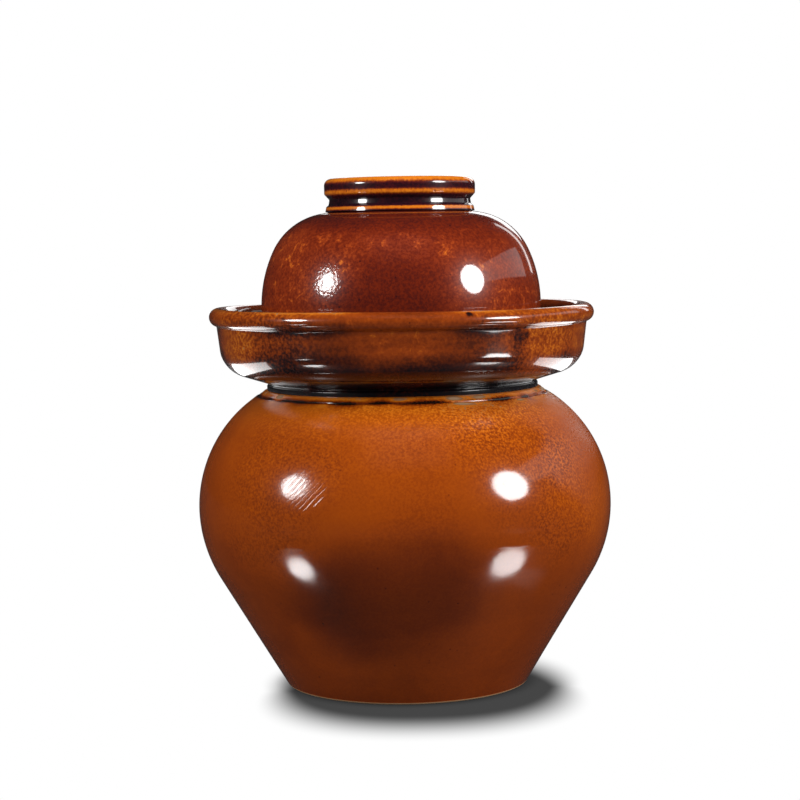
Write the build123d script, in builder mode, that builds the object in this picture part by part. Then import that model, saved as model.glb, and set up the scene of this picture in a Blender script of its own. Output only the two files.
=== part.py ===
from build123d import *
from math import acos, atan2, cos, degrees, hypot, radians, sin, tan
import os

# Water seal pickle jar of glazed stoneware, in millimetres.
# A pot-bellied crock carries a ring-shaped water trough round its neck. The mouth is closed by an inner
# lid, and over it an inverted bowl stands with its rim in the water of the trough, so that gas can bubble
# out and no air can get in. Everything is turned about the Z axis, and the foot stands on Z = 0.

# Crock: foot, belly and neck
belly_radius = 100.0
belly_height = 86.6
belly_centre_offset = 36.0  # the belly's arc is centred this far off the axis
foot_radius = 58.5
foot_edge_round = 1.5
foot_ring_width = 14.0
foot_recess_depth = 1.5
foot_recess_slope = 1.5
crock_wall = 6.5
crock_floor = 8.0
crock_floor_round = 10.0
mouth_radius = 45.0
neck_wall = 5.5
neck_rim_round = 2.0
neck_root_round = 3.0
mouth_rise = 4.5  # the mouth stands this far above the trough's lip

# Water trough: a dish luted on the shoulder, round the neck
seat_width = 15.0
collar_height = 2.2
collar_round = 0.8
groove_depth = 1.2
groove_rise = 1.0
groove_round = 0.5
trough_floor_thickness = 7.5
trough_depth = 26.6
trough_wall = 5.6
trough_floor_round = 6.0
heel_drop = 2.8
heel_round = 13.5
wall_lean = 7.0  # degrees from upright
lip_bead_radius = 4.3
lip_notch_round = 1.2
inner_channel = 12.2  # free width of the trough between the neck and the outer lid
outer_channel = 16.6  # free width between the outer lid and the trough's wall, at the lip

# Outer lid: an inverted bowl
lid_wall = 5.0
lid_skirt_height = 26.6
lid_rim_round = 1.8
side_curve_radius = 62.0
side_turn = 25.0  # degrees that the side curves in before the shoulder starts
crown_slope = 10.0  # degrees from level
crown_shelf = 4.4  # width of the crown outside the grip ring

# Grip ring: the bowl's foot, luted on the crown
grip_root_radius = 34.0
grip_wall = 5.5
bead_swell = 0.9
bead_height = 2.0
bead_round = 0.9
bead_rise = 2.2
neck_in_length = 2.0
neck_in_round = 1.2
roll_swell = 2.4
roll_flare = 2.6
roll_depth = 7.2
roll_edge_round = 1.0
roll_top_round = 3.4
grip_bore_round = 1.6

# Inner lid: a thick disc with a ring that drops into the mouth
inner_lid_set_back = 1.0
inner_lid_edge = 4.0
inner_lid_edge_round = 1.5
inner_lid_rise = 2.6
spigot_clearance = 1.2
spigot_wall = 5.0
spigot_depth = 7.0
spigot_round = 1.4
inner_knob_root_radius = 7.5
inner_knob_radius = 11.0
inner_knob_waist_height = 4.0
inner_knob_flare = 4.0
inner_knob_cap = 5.0
inner_knob_waist_round = 2.2
inner_knob_edge_round = 2.6
inner_knob_under_round = 1.3

# A lid at rest stands this far off what carries it
rest_gap = 0.3


def point_at(centre, radius, angle):
    """The point of a circle at an angle in degrees, as radius from the axis and height."""
    return (centre[0] + radius * cos(radians(angle)), centre[1] + radius * sin(radians(angle)))


def corner(section, place):
    """The corner of a section that lies nearest to a place."""
    return section.vertices().sort_by_distance(place)[0]


# The belly is one arc, and a straight side runs from the foot's edge to touch it
belly_centre = (belly_centre_offset, belly_height)
belly_curve_radius = belly_radius - belly_centre_offset
foot_reach = hypot(foot_radius - belly_centre[0], belly_height)
side_angle = degrees(atan2(-belly_height, foot_radius - belly_centre[0]) + acos(belly_curve_radius / foot_reach))
inner_curve_radius = belly_curve_radius - crock_wall
side_touch = point_at(belly_centre, belly_curve_radius, side_angle)
inner_side_touch = point_at(belly_centre, inner_curve_radius, side_angle)
inner_floor_radius = inner_side_touch[0] + (inner_side_touch[1] - crock_floor) * tan(radians(side_angle))

neck_radius = mouth_radius + neck_wall
neck_angle = degrees(acos((neck_radius - belly_centre[0]) / belly_curve_radius))
neck_root = point_at(belly_centre, belly_curve_radius, neck_angle)
throat_angle = degrees(acos((mouth_radius - belly_centre[0]) / inner_curve_radius))
throat = point_at(belly_centre, inner_curve_radius, throat_angle)

trough_floor_z = neck_root[1] + trough_floor_thickness
lip_z = trough_floor_z + trough_depth
mouth_z = lip_z + mouth_rise

foot_recess_radius = foot_radius - foot_ring_width
foot_recess_inner = foot_recess_radius - foot_recess_slope

with BuildPart() as crock_body:
    with BuildSketch(Plane.XZ) as crock_section:
        with BuildLine():
            Polyline(
                (0, foot_recess_depth),
                (foot_recess_inner, foot_recess_depth),
                (foot_recess_radius, 0),
                (foot_radius, 0),
                side_touch,
            )
            CenterArc(belly_centre, belly_curve_radius, side_angle, neck_angle - side_angle)
            Polyline(
                neck_root,
                (neck_radius, mouth_z),
                (mouth_radius, mouth_z),
                throat,
            )
            CenterArc(belly_centre, inner_curve_radius, throat_angle, side_angle - throat_angle)
            Polyline(
                inner_side_touch,
                (inner_floor_radius, crock_floor),
                (0, crock_floor),
                (0, foot_recess_depth),
            )
        make_face()
        fillet(corner(crock_section, (foot_radius, 0)), foot_edge_round)
        fillet(corner(crock_section, (neck_radius, mouth_z)), neck_rim_round)
        fillet(corner(crock_section, (mouth_radius, mouth_z)), neck_rim_round)
        fillet(corner(crock_section, throat), neck_root_round)
        fillet(corner(crock_section, (inner_floor_radius, crock_floor)), crock_floor_round)
    revolve(axis=Axis.Z)

# The trough's wall leans out, and its inner face runs straight into the round bead of the lip
lid_radius = neck_radius + inner_channel + lid_wall
trough_inner_radius = lid_radius + outer_channel
lip_centre = (trough_inner_radius + lip_bead_radius, lip_z - lip_bead_radius)
inner_wall_top = point_at(lip_centre, lip_bead_radius, 180 - wall_lean)
trough_corner = (
    inner_wall_top[0] - (inner_wall_top[1] - trough_floor_z) * tan(radians(wall_lean)),
    trough_floor_z,
)
lip_start_angle = -wall_lean - degrees(acos((trough_wall - lip_bead_radius) / lip_bead_radius))
outer_wall_top = point_at(lip_centre, lip_bead_radius, lip_start_angle)
heel_z = trough_floor_z - heel_drop
heel = (outer_wall_top[0] - (outer_wall_top[1] - heel_z) * tan(radians(wall_lean)), heel_z)

collar_radius = neck_radius + seat_width
collar_angle = degrees(acos((collar_radius - belly_centre[0]) / belly_curve_radius))
collar_foot = point_at(belly_centre, belly_curve_radius, collar_angle)
collar_top = (collar_radius, collar_foot[1] + collar_height)
groove = (collar_radius - groove_depth, collar_top[1] + groove_rise)

with BuildPart() as water_trough:
    with BuildSketch(Plane.XZ) as trough_section:
        with BuildLine():
            CenterArc(belly_centre, belly_curve_radius, collar_angle, neck_angle - collar_angle)
            Polyline(neck_root, (neck_radius, trough_floor_z), trough_corner, inner_wall_top)
            CenterArc(lip_centre, lip_bead_radius, lip_start_angle, 180 - wall_lean - lip_start_angle)
            Polyline(outer_wall_top, heel, groove, collar_top, collar_foot)
        make_face()
        fillet(corner(trough_section, trough_corner), trough_floor_round)
        fillet(corner(trough_section, heel), heel_round)
        fillet(corner(trough_section, outer_wall_top), lip_notch_round)
        fillet(corner(trough_section, groove), groove_round)
        fillet(corner(trough_section, collar_top), collar_round)
    revolve(axis=Axis.Z)

# The lid's skirt is upright, its side curves in gently, and a tighter shoulder brings it to the crown
lid_rim_z = trough_floor_z + rest_gap
skirt_top_z = lid_rim_z + lid_skirt_height
side_centre = (lid_radius - side_curve_radius, skirt_top_z)
side_end = point_at(side_centre, side_curve_radius, side_turn)
grip_bore_radius = grip_root_radius - grip_wall
crown_radius = grip_root_radius + crown_shelf
crown_angle = 90 - crown_slope
shoulder_radius = (side_end[0] - crown_radius) / (cos(radians(side_turn)) - cos(radians(crown_angle)))
shoulder_centre = point_at(side_end, -shoulder_radius, side_turn)
crown_edge = point_at(shoulder_centre, shoulder_radius, crown_angle)
grip_root_z = crown_edge[1] + crown_shelf * tan(radians(crown_slope))
crown_z = crown_edge[1] + (crown_radius - grip_bore_radius) * tan(radians(crown_slope))
ceiling_edge = point_at(shoulder_centre, shoulder_radius - lid_wall, crown_angle)
ceiling_z = crown_z - lid_wall
ceiling_radius = ceiling_edge[0] - (ceiling_z - ceiling_edge[1]) / tan(radians(crown_slope))

with BuildPart() as outer_lid:
    with BuildSketch(Plane.XZ) as lid_section:
        with BuildLine():
            Line((lid_radius, lid_rim_z), (lid_radius, skirt_top_z))
            CenterArc(side_centre, side_curve_radius, 0, side_turn)
            CenterArc(shoulder_centre, shoulder_radius, side_turn, crown_angle - side_turn)
            Polyline(
                crown_edge,
                (grip_bore_radius, crown_z),
                (0, crown_z),
                (0, ceiling_z),
                (ceiling_radius, ceiling_z),
                ceiling_edge,
            )
            CenterArc(shoulder_centre, shoulder_radius - lid_wall, crown_angle, side_turn - crown_angle)
            CenterArc(side_centre, side_curve_radius - lid_wall, side_turn, -side_turn)
            Polyline(
                (lid_radius - lid_wall, skirt_top_z),
                (lid_radius - lid_wall, lid_rim_z),
                (lid_radius, lid_rim_z),
            )
        make_face()
        fillet(corner(lid_section, (lid_radius, lid_rim_z)), lid_rim_round)
        fillet(corner(lid_section, (lid_radius - lid_wall, lid_rim_z)), lid_rim_round)
    revolve(axis=Axis.Z)

# The ring's outside, upwards: a small bead at the root, a drawn-in neck, and a thick roll at the top
bead = (grip_root_radius + bead_swell, grip_root_z + bead_height)
neck_in_low = (grip_root_radius, bead[1] + bead_rise)
neck_in_high = (grip_root_radius, neck_in_low[1] + neck_in_length)
roll_edge = (grip_root_radius + roll_swell, neck_in_high[1] + roll_flare)
grip_top_z = roll_edge[1] + roll_depth
roll_top = (roll_edge[0], grip_top_z)
grip_bore_top = (grip_bore_radius, grip_top_z)

with BuildPart() as lid_grip_ring:
    with BuildSketch(Plane.XZ) as grip_section:
        with BuildLine():
            Polyline(
                (grip_bore_radius, crown_z),
                (grip_root_radius, grip_root_z),
                bead,
                neck_in_low,
                neck_in_high,
                roll_edge,
                roll_top,
                grip_bore_top,
                close=True,
            )
        make_face()
        fillet(corner(grip_section, bead), bead_round)
        fillet(corner(grip_section, neck_in_low), neck_in_round)
        fillet(corner(grip_section, neck_in_high), neck_in_round)
        fillet(corner(grip_section, roll_edge), roll_edge_round)
        fillet(corner(grip_section, roll_top), roll_top_round)
        fillet(corner(grip_section, grip_bore_top), grip_bore_round)
    revolve(axis=Axis.Z)

inner_lid_z = mouth_z + rest_gap
inner_lid_radius = neck_radius - inner_lid_set_back
inner_lid_edge_top = (inner_lid_radius, inner_lid_z + inner_lid_edge)
knob_seat_z = inner_lid_edge_top[1] + inner_lid_rise
spigot_radius = mouth_radius - spigot_clearance
spigot_tip_z = inner_lid_z - spigot_depth

with BuildPart() as inner_lid:
    with BuildSketch(Plane.XZ) as inner_lid_section:
        with BuildLine():
            Polyline(
                (0, inner_lid_z),
                (spigot_radius - spigot_wall, inner_lid_z),
                (spigot_radius - spigot_wall, spigot_tip_z),
                (spigot_radius, spigot_tip_z),
                (spigot_radius, inner_lid_z),
                (inner_lid_radius, inner_lid_z),
                inner_lid_edge_top,
                (inner_knob_root_radius, knob_seat_z),
                (0, knob_seat_z),
                close=True,
            )
        make_face()
        fillet(corner(inner_lid_section, (spigot_radius, spigot_tip_z)), spigot_round)
        fillet(corner(inner_lid_section, (spigot_radius - spigot_wall, spigot_tip_z)), spigot_round)
        fillet(corner(inner_lid_section, (spigot_radius - spigot_wall, inner_lid_z)), spigot_round)
        fillet(corner(inner_lid_section, (inner_lid_radius, inner_lid_z)), inner_lid_edge_round)
        fillet(corner(inner_lid_section, inner_lid_edge_top), inner_lid_edge_round)
    revolve(axis=Axis.Z)

knob_waist = (inner_knob_root_radius, knob_seat_z + inner_knob_waist_height)
knob_under = (inner_knob_radius, knob_waist[1] + inner_knob_flare)
knob_top_z = knob_under[1] + inner_knob_cap

with BuildPart() as inner_lid_knob:
    with BuildSketch(Plane.XZ) as knob_section:
        with BuildLine():
            Polyline(
                (0, knob_seat_z),
                (inner_knob_root_radius, knob_seat_z),
                knob_waist,
                knob_under,
                (inner_knob_radius, knob_top_z),
                (0, knob_top_z),
                close=True,
            )
        make_face()
        fillet(corner(knob_section, knob_waist), inner_knob_waist_round)
        fillet(corner(knob_section, knob_under), inner_knob_under_round)
        fillet(corner(knob_section, (inner_knob_radius, knob_top_z)), inner_knob_edge_round)
    revolve(axis=Axis.Z)

crock_body.part.label = "crock_body"
water_trough.part.label = "water_trough"
outer_lid.part.label = "outer_lid"
lid_grip_ring.part.label = "lid_grip_ring"
inner_lid.part.label = "inner_lid"
inner_lid_knob.part.label = "inner_lid_knob"

os.makedirs("parts", exist_ok=True)
for piece in (crock_body, water_trough, outer_lid, lid_grip_ring, inner_lid, inner_lid_knob):
    export_step(piece.part, f"parts/{piece.part.label}.step")
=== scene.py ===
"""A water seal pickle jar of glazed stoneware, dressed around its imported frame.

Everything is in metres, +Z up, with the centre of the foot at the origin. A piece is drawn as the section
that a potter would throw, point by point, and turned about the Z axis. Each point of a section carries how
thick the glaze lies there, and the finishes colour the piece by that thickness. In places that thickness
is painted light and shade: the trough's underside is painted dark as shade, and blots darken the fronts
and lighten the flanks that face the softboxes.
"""

import logging
import math
from collections.abc import Iterable
from dataclasses import dataclass, field
from enum import Enum

import bmesh
import bpy
from mathutils import Euler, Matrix, Quaternion, Vector, noise


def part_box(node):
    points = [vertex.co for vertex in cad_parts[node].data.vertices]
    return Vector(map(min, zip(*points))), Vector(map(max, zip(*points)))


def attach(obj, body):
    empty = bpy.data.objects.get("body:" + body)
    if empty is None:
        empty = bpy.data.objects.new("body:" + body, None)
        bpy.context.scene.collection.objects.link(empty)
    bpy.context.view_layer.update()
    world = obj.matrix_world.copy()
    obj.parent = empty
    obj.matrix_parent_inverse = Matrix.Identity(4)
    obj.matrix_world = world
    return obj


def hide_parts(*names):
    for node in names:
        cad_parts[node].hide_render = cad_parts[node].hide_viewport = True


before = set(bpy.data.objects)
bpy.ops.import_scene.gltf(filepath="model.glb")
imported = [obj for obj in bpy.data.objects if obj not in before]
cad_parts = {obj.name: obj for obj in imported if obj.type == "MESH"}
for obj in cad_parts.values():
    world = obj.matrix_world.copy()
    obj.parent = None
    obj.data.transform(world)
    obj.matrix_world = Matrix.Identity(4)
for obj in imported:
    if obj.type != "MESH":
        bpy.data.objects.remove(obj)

log = logging.getLogger("pickle_jar")

MM = 0.001
GLAZE_LAYER = "glaze"
HANDWORK_SEED = 7
WHITE = (1.0, 1.0, 1.0, 1.0)

Point = tuple[float, float] | Vector  # radius from the axis and height
Place = tuple[float, float, float]
Colour = tuple[float, float, float]
Span = tuple[float, float]
AngleGlaze = tuple[float, float]  # angle in degrees on an arc and the thickness of the glaze there
Socket = bpy.types.NodeSocket
Vert = bmesh.types.BMVert


def point_at(centre: Point, radius: float, angle: float) -> Point:
    """Finds a point of a circle.

    Args:
        centre: Centre of the circle.
        radius: Radius of the circle.
        angle: Angle in degrees, from level outwards.

    Returns:
        The point, as radius from the axis and height.
    """
    turn = math.radians(angle)
    return (centre[0] + radius * math.cos(turn), centre[1] + radius * math.sin(turn))


def angle_of(centre: Point, place: Point) -> float:
    """Finds the direction from a centre to a place.

    Args:
        centre: Where the direction starts.
        place: Where it points.

    Returns:
        The angle in degrees, from level outwards.
    """
    return math.degrees(math.atan2(place[1] - centre[1], place[0] - centre[0]))


def stand_up(place: Point) -> Vector:
    """Puts a point of a section into the XZ plane."""
    return Vector((place[0], 0.0, place[1]))


def bell(gap: float) -> float:
    """Finds the share that a soft mark has at a distance from its middle, given in reaches of the mark."""
    return math.exp(-(gap**2))


def add_object(name: str, data: bpy.types.ID) -> bpy.types.Object:
    """Makes an object and links it into the scene.

    Args:
        name: Name of the object.
        data: Its mesh, light or camera.

    Returns:
        The object, at the origin.
    """
    made = bpy.data.objects.new(name, data)
    bpy.context.scene.collection.objects.link(made)
    return made


def add_material(name: str) -> bpy.types.Material:
    """Makes a material that uses nodes.

    Args:
        name: Name of the material.

    Returns:
        The material.
    """
    material = bpy.data.materials.new(name)
    material.use_nodes = True
    return material


class Thickness(float, Enum):
    """How thick the glaze lies, from bare clay to a dark pool."""

    BARE = 0.0
    BREAK = 0.14
    THIN = 0.26
    LIGHT = 0.36
    PLAIN = 0.46
    FULL = 0.58
    HEAVY = 0.74
    DARK = 0.88
    POOL = 1.0


@dataclass(frozen=True)
class Handwork:
    """The small unevenness that the hand and the kiln leave in every piece."""

    reach: float = 0.5 * MM
    wave: float = 75.0 * MM
    level_height: float = 14.0 * MM

    def shift(self, place: Vector) -> Vector:
        """Finds how far a point has moved, which is nothing at the level foot.

        Args:
            place: The point as thrown.

        Returns:
            The move.
        """
        fade = min(1.0, max(0.0, place.z / self.level_height))
        return noise.noise_vector(place / self.wave) * self.reach * fade


@dataclass(frozen=True)
class Knead:
    """A level band around a piece that was pressed by fingers, where shape and glaze came out uneven."""

    height: float
    half_height: float
    reach: float
    glaze: float
    size: float = 9.0 * MM
    glaze_offset: Place = (7.0, 3.0, 1.0)

    def share(self, place: Vector) -> float:
        """Finds how much of the band's unevenness a point has, from 0 to 1."""
        return bell((place.z - self.height) / self.half_height)

    def shift(self, place: Vector) -> Vector:
        """Finds how far a point has moved."""
        return noise.noise_vector(place / self.size) * self.reach * self.share(place)

    def change(self, place: Vector) -> float:
        """Finds how much thicker or thinner the glaze has run at a point."""
        return noise.noise(place / self.size + Vector(self.glaze_offset)) * self.glaze * self.share(place)


class Section:
    """The section of a thrown piece, drawn in the XZ plane and turned about the Z axis."""

    chord = 2.2 * MM
    chord_angle = 9.0
    arc_steps = 2
    corner_steps = 3
    mark_spread = 3
    mark_points = 3
    weld = 0.001 * MM
    around = 256
    wedges = 16
    handwork = Handwork()

    def __init__(self, start: Point, glaze: float) -> None:
        """Starts the section.

        Args:
            start: First point.
            glaze: Thickness of the glaze there.
        """
        self.mesh = bmesh.new()
        self.layer = self.mesh.verts.layers.float.new(GLAZE_LAYER)
        self.first = self.skip(start, glaze)

    def skip(self, place: Point, glaze: float) -> Vert:
        """Starts a new stretch, with nothing drawn up to it.

        Args:
            place: Where it starts.
            glaze: Thickness of the glaze there.

        Returns:
            The point at its start.
        """
        self.tip = self.mesh.verts.new(stand_up(place))
        self.tip[self.layer] = glaze
        return self.tip

    def line(self, place: Point, glaze: float) -> Vert:
        """Draws a straight stretch.

        Args:
            place: Where it ends.
            glaze: Thickness of the glaze at its end.

        Returns:
            The point at its end, for rounding.
        """
        begin = self.tip
        self.mesh.edges.new((begin, self.skip(place, glaze)))
        return self.tip

    def arc(self, centre: Point, sweep: float, glaze: float) -> Vert:
        """Draws a round stretch, with the glaze changing evenly along it.

        Args:
            centre: Centre of the arc.
            sweep: Angle in degrees that it turns through, positive from level outwards to up.
            glaze: Thickness of the glaze at its end.

        Returns:
            The point at its end.
        """
        pivot = stand_up(centre)
        length = math.radians(abs(sweep)) * (self.tip.co - pivot).length
        steps = math.ceil(max(abs(sweep) / self.chord_angle, length / self.chord, self.arc_steps))
        start_glaze = self.tip[self.layer]
        count = len(self.mesh.verts)
        bmesh.ops.spin(
            self.mesh,
            geom=[self.tip],
            cent=pivot,
            axis=(0.0, -1.0, 0.0),
            angle=math.radians(sweep),
            steps=steps,
        )
        self.mesh.verts.ensure_lookup_table()
        for step, vert in enumerate(self.mesh.verts[count:], start=1):
            vert[self.layer] = start_glaze + (glaze - start_glaze) * step / steps
        self.tip = self.mesh.verts[-1]
        return self.tip

    def arcs(self, centre: Point, start: float, ends: Iterable[AngleGlaze]) -> None:
        """Draws one round stretch after another about the same centre.

        Args:
            centre: Centre of the arcs.
            start: Angle in degrees at which the first one starts.
            ends: Angle in degrees at which each one ends, with the thickness of the glaze there.
        """
        for end, glaze in ends:
            self.arc(centre, end - start, glaze)
            start = end

    def close(self) -> None:
        """Joins the last point to the first."""
        self.mesh.edges.new((self.tip, self.first))

    def round_off(self, radius: float, *corners: Vert) -> None:
        """Rounds corners between straight stretches.

        Args:
            radius: Radius of the round.
            *corners: The corners' points.
        """
        for corner in corners:
            arms = [edge.other_vert(corner).co - corner.co for edge in corner.link_edges]
            turn = math.pi - arms[0].angle(arms[1])
            bmesh.ops.bevel(
                self.mesh,
                geom=[corner],
                offset=radius * math.tan(turn / 2),
                offset_type="OFFSET",
                segments=max(self.corner_steps, round(math.degrees(turn) / self.chord_angle)),
                profile=0.5,
                affect="VERTICES",
                material=-1,
                clamp_overlap=False,
            )

    def _divide(self, edges: Iterable[bmesh.types.BMEdge], chord: float) -> None:
        """Divides stretches into equal parts.

        Args:
            edges: The stretches.
            chord: Longest length that is left undivided.
        """
        for edge in edges:
            cuts = int(edge.calc_length() / chord)
            if cuts:
                bmesh.ops.subdivide_edges(self.mesh, edges=[edge], cuts=cuts)

    def refine(self, chord: float = chord) -> None:
        """Divides the long stretches, so that glaze and handwork change smoothly along them.

        Args:
            chord: Longest length that is left undivided.
        """
        self._divide(self.mesh.edges[:], chord)

    def press(self, place: Point, toward: Point, depth: float, reach: float) -> None:
        """Presses a tool mark into the section, or raises a ridge where the depth is negative.

        Args:
            place: Middle of the mark.
            toward: A point that the mark is pressed towards.
            depth: Depth of the mark.
            reach: Half its width.
        """
        middle = stand_up(place)
        inwards = (stand_up(toward) - middle).normalized()
        limit = self.mark_spread * reach + self.chord
        near = [
            edge
            for edge in self.mesh.edges
            if min((vert.co - middle).length for vert in edge.verts) < limit
        ]
        self._divide(near, reach / self.mark_points)
        for vert in self.mesh.verts:
            vert.co += inwards * depth * bell((vert.co - middle).length / reach)

    def dab(self, place: Point, glaze: float, reach: float) -> None:
        """Thins or thickens the glaze around a place, which under the trough paints shade instead.

        Args:
            place: Middle of the dab.
            glaze: Thickness of the glaze in its middle.
            reach: How far it spreads.
        """
        middle = stand_up(place)
        for vert in self.mesh.verts:
            share = bell((vert.co - middle).length / reach)
            vert[self.layer] += (glaze - vert[self.layer]) * share

    def turned(
        self, name: str, body: str, slot: str, node: str, steps: int = around, kneads: Iterable[Knead] = ()
    ) -> bpy.types.Object:
        """Turns the section about the Z axis into a finished piece.

        Args:
            name: Name of the piece.
            body: CAD body that it rides on.
            slot: Not used.
            node: CAD node that it stands for.
            steps: Number of facets around.
            kneads: Bands that were pressed by fingers.

        Returns:
            The piece.
        """
        about = {"cent": (0.0, 0.0, 0.0), "axis": (0.0, 0.0, 1.0)}
        wedge = math.tau / self.wedges
        outline = self.mesh.verts[:] + self.mesh.edges[:]
        bmesh.ops.spin(self.mesh, geom=outline, angle=wedge, steps=steps // self.wedges, **about)
        bmesh.ops.spin(
            self.mesh,
            geom=self.mesh.verts[:] + self.mesh.edges[:] + self.mesh.faces[:],
            angle=math.tau - wedge,
            steps=self.wedges - 1,
            use_duplicate=True,
            **about,
        )
        bmesh.ops.remove_doubles(self.mesh, verts=self.mesh.verts[:], dist=self.weld)
        bmesh.ops.recalc_face_normals(self.mesh, faces=self.mesh.faces[:])
        for vert in self.mesh.verts:
            place = vert.co.copy()
            vert.co += self.handwork.shift(place)
            for knead in kneads:
                vert.co += knead.shift(place)
                vert[self.layer] = max(0.0, vert[self.layer] + knead.change(place))
        for face in self.mesh.faces:
            face.smooth = True
        mesh = bpy.data.meshes.new(name)
        self.mesh.to_mesh(mesh)
        self.mesh.free()
        piece = add_object(name, mesh)
        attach(piece, body)
        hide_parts(node)
        log.info("%s stands for %s on body %s, %d faces", name, node, body, len(mesh.polygons))
        return piece


class Graph:
    """A node tree, with short ways to add nodes and join them."""

    def __init__(self, tree: bpy.types.NodeTree) -> None:
        """Takes the tree over and empties it."""
        self.tree = tree
        self.tree.nodes.clear()

    def node(self, kind: str, inputs: dict | None = None, **settings: object) -> bpy.types.Node:
        """Adds a node.

        Args:
            kind: Type of the node.
            inputs: Sockets to link, or values to set, by name or number.
            **settings: Properties of the node.

        Returns:
            The node.
        """
        made = self.tree.nodes.new(kind)
        for key, value in settings.items():
            setattr(made, key, value)
        for key, value in (inputs or {}).items():
            if isinstance(value, Socket):
                self.tree.links.new(value, made.inputs[key])
            else:
                made.inputs[key].default_value = value
        return made

    def math(self, operation: str, *values: object, clamp: bool = False) -> Socket:
        """Adds a Math node and returns its result."""
        made = self.node("ShaderNodeMath", dict(enumerate(values)), operation=operation, use_clamp=clamp)
        return made.outputs[0]

    def plus(self, *values: object) -> Socket:
        """Adds two values."""
        return self.math("ADD", *values)

    def minus(self, *values: object) -> Socket:
        """Takes the second value from the first."""
        return self.math("SUBTRACT", *values)

    def times(self, *values: object) -> Socket:
        """Multiplies two values."""
        return self.math("MULTIPLY", *values)

    def over(self, *values: object) -> Socket:
        """Divides the first value by the second."""
        return self.math("DIVIDE", *values)

    def times_plus(self, *values: object) -> Socket:
        """Multiplies the first two values and adds the third."""
        return self.math("MULTIPLY_ADD", *values)

    def vector(self, operation: str, *values: object) -> bpy.types.Node:
        """Adds a Vector Math node and returns it."""
        return self.node("ShaderNodeVectorMath", dict(enumerate(values)), operation=operation)

    def noise(self, vector: object, scale: object, detail: float = 2.0, **inputs: float) -> Socket:
        """Adds a Noise Texture and returns its value."""
        values = {"Vector": vector, "Scale": scale, "Detail": detail, **inputs}
        return self.node("ShaderNodeTexNoise", values).outputs["Fac"]

    def mix(self, share: Socket, first: Socket, second: Socket) -> Socket:
        """Mixes two shaders by the share of the second and returns the mix."""
        return self.node("ShaderNodeMixShader", {0: share, 1: first, 2: second}).outputs[0]

    def fade(self, value: object, start: float, end: float, low: object = 0.0, high: object = 1.0) -> Socket:
        """Adds a smooth step.

        Args:
            value: Socket that is mapped.
            start: Value that gives the low result.
            end: Value that gives the high result.
            low: Low result.
            high: High result.

        Returns:
            The socket with the result.
        """
        values = {"Value": value, "From Min": start, "From Max": end, "To Min": low, "To Max": high}
        made = self.node("ShaderNodeMapRange", values, interpolation_type="SMOOTHSTEP")
        return made.outputs["Result"]

    def ramp(self, value: object, stops: Iterable[tuple[float, Colour]]) -> Socket:
        """Adds a Color Ramp.

        Args:
            value: Socket that drives it.
            stops: Places from 0 to 1 with their colours.

        Returns:
            The socket with the colour.
        """
        made = self.node("ShaderNodeValToRGB", {"Fac": value})
        elements = made.color_ramp.elements
        stops = list(stops)
        while len(elements) < len(stops):
            elements.new(1.0)
        for element, (place, colour) in zip(elements, stops):
            element.position = place
            element.color = (*colour, 1.0)
        return made.outputs["Color"]

    def group(self, tree: bpy.types.NodeTree, **inputs: object) -> Socket:
        """Places an effect's node group.

        Args:
            tree: The group.
            **inputs: Its inputs, with underscores for spaces.

        Returns:
            The one value that the group puts out.
        """
        made = self.node("ShaderNodeGroup", node_tree=tree)
        for key, value in inputs.items():
            socket = made.inputs[key.replace("_", " ").capitalize()]
            if isinstance(value, Socket):
                self.tree.links.new(value, socket)
            else:
                socket.default_value = value
        return made.outputs[0]


class Effect:
    """A surface effect that several finishes share, kept as one node group that puts out one value."""

    vectors = ("Vector", "Place")

    def __init__(self, name: str, inputs: Iterable[str], output: str) -> None:
        """Starts the group with its sockets.

        Args:
            name: Name of the group.
            inputs: Names of its inputs.
            output: Name of its output.
        """
        self.tree = bpy.data.node_groups.new(name, "ShaderNodeTree")
        for socket in inputs:
            kind = "NodeSocketVector" if socket in self.vectors else "NodeSocketFloat"
            self.tree.interface.new_socket(socket, in_out="INPUT", socket_type=kind)
        self.tree.interface.new_socket(output, in_out="OUTPUT", socket_type="NodeSocketFloat")
        self.graph = Graph(self.tree)
        self.given = self.graph.node("NodeGroupInput").outputs
        self.result = self.graph.node("NodeGroupOutput").inputs[output]

    def finish(self, value: Socket) -> bpy.types.NodeTree:
        """Puts the value out of the group and returns the group."""
        self.tree.links.new(value, self.result)
        return self.tree


# Spans of a noise or of a thickness over which each pattern sets in, and how the patterns are stretched.
NOISE_MIDDLE = 0.5
FLECKED = (0.50, 0.68)
PATCHED = (0.42, 0.60)
PATCH_SHARES = (0.35, 1.0)
PATCH_SCALE = 1.7
GRAINED = (0.34, 0.66)
GRAIN_SHARES = (-0.5, 0.5)
STREAK_STRETCH = (0.25, 0.25, 3.0)
BREAKING = (0.66, 0.46)
COVERED = (0.05, 0.30)


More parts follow.
